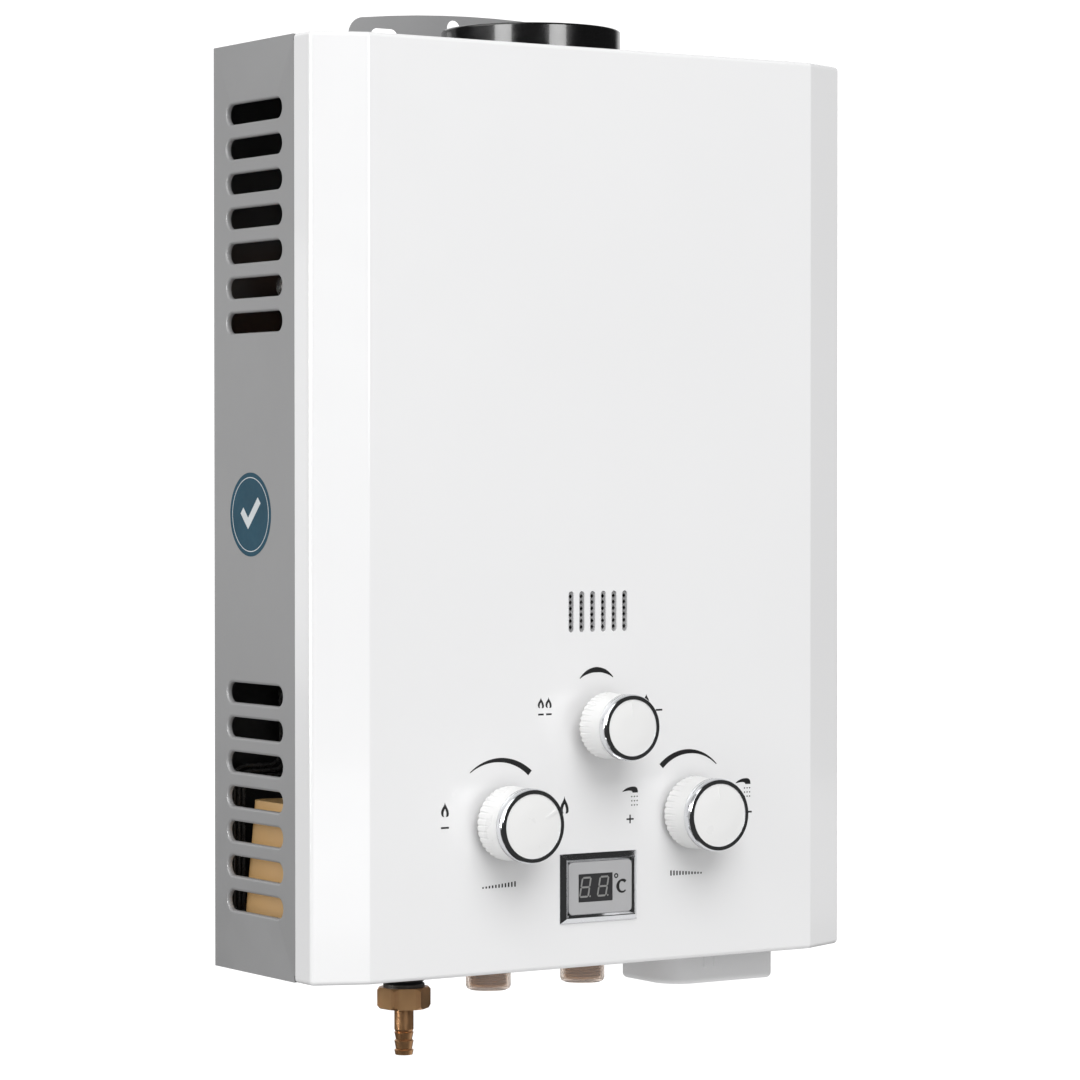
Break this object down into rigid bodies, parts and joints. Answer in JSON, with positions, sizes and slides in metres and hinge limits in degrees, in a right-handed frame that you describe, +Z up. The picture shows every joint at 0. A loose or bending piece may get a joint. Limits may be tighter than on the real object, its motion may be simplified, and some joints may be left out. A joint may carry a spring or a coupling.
{
  "type": "water heater",
  "caption": "Wall-hung instantaneous propane water heater: flat white casing, three knobs, temperature display, vented grey sides, round flue collar on top, gas and water fittings below.",
  "frame": {"origin": "middle of the two round hanger holes, in the plane of the wall", "axes": "+X to the right seen from the front, -Y towards the user, +Y into the wall, +Z up"},
  "size_m": [0.35, 0.1555, 0.5841],
  "materials": {
    "grey_enamel": "satin grey enamel",
    "white_enamel": "gloss white enamel",
    "black_enamel": "gloss black enamel",
    "white_plastic": "gloss white plastic",
    "box_plastic": "white moulded plastic",
    "chrome": "polished chrome",
    "steel": "zinc plated steel",
    "mesh_steel": "dark expanded mesh",
    "copper": "bright copper",
    "brass": "machined brass",
    "cast_brass": "cast brass",
    "cast_alloy": "die-cast alloy",
    "hood_sheet": "aluminised sheet",
    "black_fitting": "blackened fitting",
    "clear_plastic": "clear soft plastic",
    "panel_plastic": "silver grey plastic",
    "lens_plastic": "dark window",
    "board": "circuit board",
    "tan_plastic": "tan moulded plastic",
    "black_plastic": "black plastic",
    "ceramic": "glazed ceramic",
    "rubber": "black rubber",
    "lead_sleeve": "silicone lead sleeve",
    "cell_wrap": "printed cell sleeve"
  },
  "bodies": {
    "casing": {"rear_shell": "grey_enamel", "top_panel": "grey_enamel", "bottom_plate": "grey_enamel", "front_cover": "white_enamel", "cover_screws": "steel", "grille_mesh": "mesh_steel", "display_bezel": "chrome", "display_panel": "panel_plastic", "display_lens": "lens_plastic", "display_board": "board", "flue_collar": "black_enamel", "draft_hood": "hood_sheet", "exchanger_fins": "copper", "exchanger_tube": "copper", "combustion_chamber": "copper", "overheat_switch": "ceramic", "burner_blades": "steel", "burner_frame": "steel", "gas_manifold": "cast_alloy", "gas_nozzles": "brass", "ignition_electrode": "ceramic", "flame_sensor": "ceramic", "burner_brackets": "steel", "gas_inlet": "black_fitting", "union_nut": "brass", "hose_barb": "brass", "gas_valve": "cast_alloy", "solenoid": "black_plastic", "cold_inlet": "cast_brass", "hot_outlet": "cast_brass", "water_valve": "cast_brass", "diaphragm": "rubber", "diaphragm_cover": "cast_brass", "diaphragm_screws": "steel", "microswitch": "black_plastic", "cold_pipe": "copper", "hot_pipe": "copper", "outlet_sensor": "brass", "igniter_box": "tan_plastic", "ignition_lead": "lead_sleeve", "sensor_lead": "lead_sleeve", "solenoid_lead": "lead_sleeve", "battery_box": "box_plastic", "battery_lid_pin": "steel", "battery_cells": "cell_wrap", "battery_contacts": "steel"},
    "gas_knob": {"gas_knob": "white_plastic", "gas_knob_ring": "chrome", "gas_spindle": "brass"},
    "season_knob": {"season_knob": "white_plastic", "season_knob_ring": "chrome", "season_spindle": "brass"},
    "water_knob": {"water_knob": "white_plastic", "water_knob_ring": "chrome", "water_spindle": "brass"},
    "battery_lid": {"battery_lid": "box_plastic"},
    "linkage_rod": {"linkage_rod": "brass"},
    "switch_lever": {"switch_lever": "steel"},
    "inlet_cap": {"inlet_cap": "clear_plastic"},
    "outlet_cap": {"outlet_cap": "clear_plastic"}
  },
  "joints": [
    {"name": "gas_knob_turn", "type": "hinge", "parent": "casing", "child": "gas_knob", "pos_m": [-0.062, -0.121, -0.4438], "axis": [0, 1, 0], "range_deg": [-139, 14]},
    {"name": "season_knob_turn", "type": "hinge", "parent": "casing", "child": "season_knob", "pos_m": [0, -0.121, -0.3929], "axis": [0, 1, 0], "range_deg": [-70, 70]},
    {"name": "water_knob_turn", "type": "hinge", "parent": "casing", "child": "water_knob", "pos_m": [0.062, -0.121, -0.4438], "axis": [0, 1, 0], "range_deg": [-76, 76]},
    {"name": "battery_lid_turn", "type": "hinge", "parent": "casing", "child": "battery_lid", "pos_m": [0.1165, -0.0222, -0.5322], "axis": [1, 0, 0], "range_deg": [0, 95]},
    {"name": "linkage_slide", "type": "slide", "parent": "casing", "child": "linkage_rod", "axis": [-1, 0, 0], "range_m": [0, 0.003], "stiffness_N_per_m": 300},
    {"name": "switch_lever_turn", "type": "hinge", "parent": "casing", "child": "switch_lever", "pos_m": [-0.01845, -0.0505, -0.4288], "axis": [0, 1, 0], "range_deg": [0, 12]},
    {"name": "inlet_cap_pull", "type": "slide", "parent": "casing", "child": "inlet_cap", "axis": [0, 0, -1], "range_m": [0, 0.03]},
    {"name": "outlet_cap_pull", "type": "slide", "parent": "casing", "child": "outlet_cap", "axis": [0, 0, -1], "range_m": [0, 0.03]}
  ],
  "couplings": [
    {"joint": "switch_lever_turn", "follows": "linkage_slide", "rad_per_m": 66.667}
  ]
}
